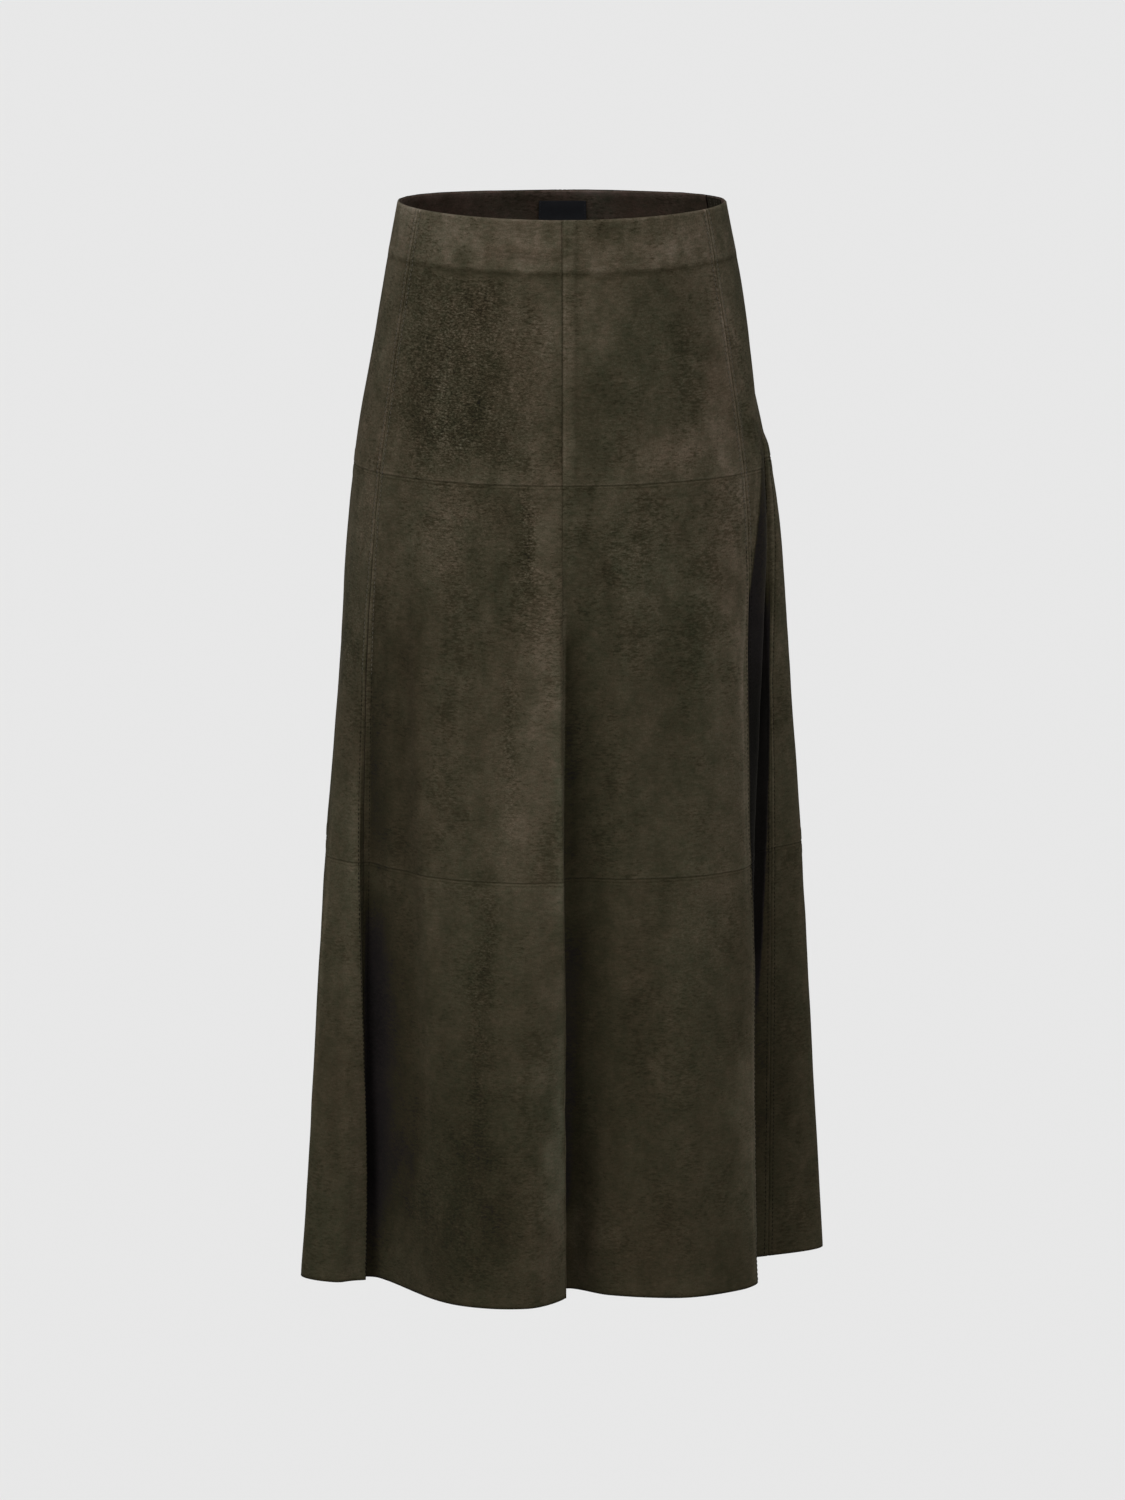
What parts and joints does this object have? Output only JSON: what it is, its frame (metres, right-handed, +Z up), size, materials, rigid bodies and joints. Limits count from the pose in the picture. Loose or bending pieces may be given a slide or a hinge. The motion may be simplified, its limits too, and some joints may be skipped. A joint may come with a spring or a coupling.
{
  "type": "a-line skirt",
  "caption": "Midi a-line skirt of dark suede in panelled gores, filled out as worn, with a waist facing, a bare label and a concealed zip whose pull tab swings.",
  "frame": {"origin": "middle of the waist, in the plane of the waist edge", "axes": "+Z up, the front faces -Y and the wearer's left side is +X"},
  "size_m": [0.4193, 0.3453, 0.8452],
  "materials": {
    "suede": "matte brushed nap",
    "facing_suede": "matte brushed nap",
    "label_cloth": "fine satin weave",
    "zip_cloth": "matte twill tape",
    "zip_metal": "dark antique brass, satin"
  },
  "bodies": {
    "skirt": {"front_left_upper": "suede", "front_left_middle": "suede", "front_left_lower": "suede", "side_left_upper": "suede", "side_left_middle": "suede", "side_left_lower": "suede", "back_left_upper": "suede", "back_left_middle": "suede", "back_left_lower": "suede", "back_right_upper": "suede", "back_right_middle": "suede", "back_right_lower": "suede", "side_right_upper": "suede", "side_right_middle": "suede", "side_right_lower": "suede", "front_right_upper": "suede", "front_right_middle": "suede", "front_right_lower": "suede", "waist_facing_front": "facing_suede", "waist_facing_back": "facing_suede", "label": "label_cloth", "zip_tape": "zip_cloth", "zip_slider": "zip_metal"},
    "pull_tab": {"zip_pull_tab": "zip_metal"}
  },
  "joints": [
    {"name": "pull_tab_swing", "type": "hinge", "parent": "skirt", "child": "pull_tab", "pos_m": [0.12726, 0.0298, -0.00737], "axis": [0.4164, -0.9091, 0.014], "range_deg": [0, 150]}
  ]
}
